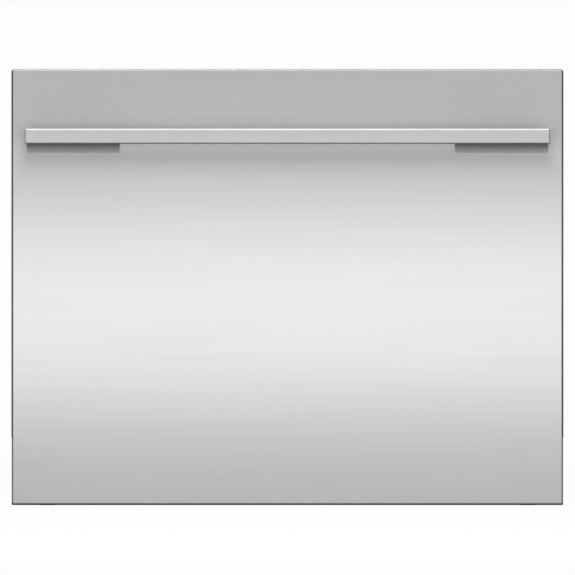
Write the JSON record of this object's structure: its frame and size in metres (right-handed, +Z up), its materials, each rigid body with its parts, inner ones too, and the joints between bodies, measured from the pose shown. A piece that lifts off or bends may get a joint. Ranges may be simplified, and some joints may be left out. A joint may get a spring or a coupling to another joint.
{
  "type": "dishwasher drawer",
  "caption": "Built-in single dishwasher drawer with a brushed steel front and square bar handle, on telescopic runners, with tub, racks, spray arm and motor-lowered lid.",
  "frame": {"origin": "centre of the bounding box, at the soles of the two skids", "axes": "+Z up, -Y out of the front (the way the drawer opens), +X to the right, seen from the front"},
  "size_m": [0.598, 0.615, 0.4725],
  "materials": {
    "galvanised_steel": "zinc-coated sheet",
    "zinc_steel": "zinc-plated",
    "black_rubber": "matte",
    "brushed_steel": "fine horizontal brushing",
    "black_plastic": "fine texture",
    "white_plastic": "moulded",
    "grey_nylon": "moulded",
    "dark_nylon": "moulded",
    "coated_wire": "nylon-coated steel wire",
    "tub_plastic": "moulded",
    "lid_plastic": "moulded",
    "motor_casing": "cast",
    "button_plastic": "satin",
    "lens": "clear-coated"
  },
  "bodies": {
    "chassis": {"base_tray": "galvanised_steel", "side_panel_right": "galvanised_steel", "side_panel_left": "galvanised_steel", "rear_panel": "galvanised_steel", "top_panel": "galvanised_steel", "edge_trim": "black_rubber", "foot_rail_right": "black_rubber", "foot_rail_left": "black_rubber", "water_valve": "white_plastic", "drain_outlet": "grey_nylon", "power_inlet": "black_plastic", "runner_outer_right": "zinc_steel", "runner_outer_left": "zinc_steel", "lid_actuator_right": "black_plastic", "lid_actuator_left": "black_plastic", "drain_hose": "black_rubber", "supply_hose": "black_rubber"},
    "drawer": {"runner_inner_right": "zinc_steel", "runner_inner_left": "zinc_steel", "runner_bracket_right": "galvanised_steel", "runner_bracket_left": "galvanised_steel", "front_skin": "brushed_steel", "front_core": "black_plastic", "front_box": "white_plastic", "control_console": "black_plastic", "indicator_lens": "lens", "controller_module": "dark_nylon", "handle_bar": "brushed_steel", "handle_foot_right": "brushed_steel", "handle_foot_left": "brushed_steel", "tub": "tub_plastic", "tub_seal": "black_rubber", "wash_motor": "motor_casing", "heater_ring": "zinc_steel", "filter_plate": "grey_nylon", "detergent_dispenser": "grey_nylon", "base_rack": "coated_wire", "fixed_tines_1": "coated_wire", "fixed_tines_2": "coated_wire", "cutlery_basket": "dark_nylon"},
    "slide_right": {"runner_middle_right": "zinc_steel"},
    "slide_left": {"runner_middle_left": "zinc_steel"},
    "lid": {"lid": "lid_plastic", "lid_rack_right": "white_plastic", "lid_rack_left": "white_plastic"},
    "pinion_right": {"lid_pinion_right": "white_plastic"},
    "pinion_left": {"lid_pinion_left": "white_plastic"},
    "spray_arm": {"spray_arm": "grey_nylon"},
    "wash_rotor": {"wash_rotor": "dark_nylon"},
    "drain_filter": {"drain_filter": "dark_nylon"},
    "dispenser_door": {"dispenser_door": "dark_nylon"},
    "rinse_aid_cap": {"rinse_aid_cap": "dark_nylon"},
    "cup_rack_right": {"cup_rack_right": "grey_nylon"},
    "cup_rack_left": {"cup_rack_left": "grey_nylon"},
    "folding_tines_1": {"folding_tines_1": "coated_wire"},
    "folding_tines_2": {"folding_tines_2": "coated_wire"},
    "power_button": {"power_button": "button_plastic"},
    "programme_button": {"programme_button": "button_plastic"},
    "option_button": {"option_button": "button_plastic"},
    "start_button": {"start_button": "button_plastic"}
  },
  "joints": [
    {"name": "drawer_slide", "type": "slide", "parent": "chassis", "child": "drawer", "axis": [0, -1, 0], "range_m": [0, 0.5], "deforming": ["drain_hose", "supply_hose"]},
    {"name": "slide_right_travel", "type": "slide", "parent": "chassis", "child": "slide_right", "axis": [0, -1, 0], "range_m": [0, 0.25]},
    {"name": "slide_left_travel", "type": "slide", "parent": "chassis", "child": "slide_left", "axis": [0, -1, 0], "range_m": [0, 0.25]},
    {"name": "lid_lower", "type": "slide", "parent": "chassis", "child": "lid", "axis": [0, 0, -1], "range_m": [0, 0.012]},
    {"name": "pinion_right_turn", "type": "hinge", "parent": "chassis", "child": "pinion_right", "pos_m": [0.2865, 0.02, 0.452], "axis": [1, 0, 0], "range_deg": [0, 76.4]},
    {"name": "pinion_left_turn", "type": "hinge", "parent": "chassis", "child": "pinion_left", "pos_m": [-0.2865, 0.02, 0.452], "axis": [1, 0, 0], "range_deg": [0, 76.4]},
    {"name": "spray_arm_spin", "type": "hinge", "parent": "drawer", "child": "spray_arm", "pos_m": [0, 0.025, 0.135], "axis": [0, 0, 1], "continuous": true},
    {"name": "wash_rotor_spin", "type": "hinge", "parent": "drawer", "child": "wash_rotor", "pos_m": [0, 0.025, 0.094], "axis": [0, 0, 1], "continuous": true},
    {"name": "drain_filter_turn", "type": "hinge", "parent": "drawer", "child": "drain_filter", "pos_m": [-0.074, 0.025, 0.11], "axis": [0, 0, 1], "range_deg": [0, 60]},
    {"name": "dispenser_door_hinge", "type": "hinge", "parent": "drawer", "child": "dispenser_door", "pos_m": [0.065, -0.2028, 0.3132], "axis": [-1, 0, 0], "range_deg": [0, 100]},
    {"name": "rinse_aid_cap_turn", "type": "hinge", "parent": "drawer", "child": "rinse_aid_cap", "pos_m": [0.135, -0.203, 0.349], "axis": [0, 1, 0], "range_deg": [0, 90]},
    {"name": "cup_rack_right_fold", "type": "hinge", "parent": "drawer", "child": "cup_rack_right", "pos_m": [0.257, 0.055, 0.3], "axis": [0, 1, 0], "range_deg": [0, 90]},
    {"name": "cup_rack_left_fold", "type": "hinge", "parent": "drawer", "child": "cup_rack_left", "pos_m": [-0.257, 0.055, 0.3], "axis": [0, -1, 0], "range_deg": [0, 90]},
    {"name": "folding_tines_1_fold", "type": "hinge", "parent": "drawer", "child": "folding_tines_1", "pos_m": [-0.14, 0.053, 0.16875], "axis": [0, 1, 0], "range_deg": [0, 90]},
    {"name": "folding_tines_2_fold", "type": "hinge", "parent": "drawer", "child": "folding_tines_2", "pos_m": [-0.044, 0.053, 0.16875], "axis": [0, 1, 0], "range_deg": [0, 90]},
    {"name": "power_button_press", "type": "slide", "parent": "drawer", "child": "power_button", "axis": [0, 0, -1], "range_m": [0, 0.0012], "stiffness_N_per_m": 300},
    {"name": "programme_button_press", "type": "slide", "parent": "drawer", "child": "programme_button", "axis": [0, 0, -1], "range_m": [0, 0.0012], "stiffness_N_per_m": 300},
    {"name": "option_button_press", "type": "slide", "parent": "drawer", "child": "option_button", "axis": [0, 0, -1], "range_m": [0, 0.0012], "stiffness_N_per_m": 300},
    {"name": "start_button_press", "type": "slide", "parent": "drawer", "child": "start_button", "axis": [0, 0, -1], "range_m": [0, 0.0012], "stiffness_N_per_m": 300}
  ],
  "couplings": [
    {"joint": "slide_right_travel", "follows": "drawer_slide", "ratio": 0.5},
    {"joint": "slide_left_travel", "follows": "drawer_slide", "ratio": 0.5},
    {"joint": "pinion_right_turn", "follows": "lid_lower", "rad_per_m": 111.11},
    {"joint": "pinion_left_turn", "follows": "lid_lower", "rad_per_m": 111.11}
  ]
}
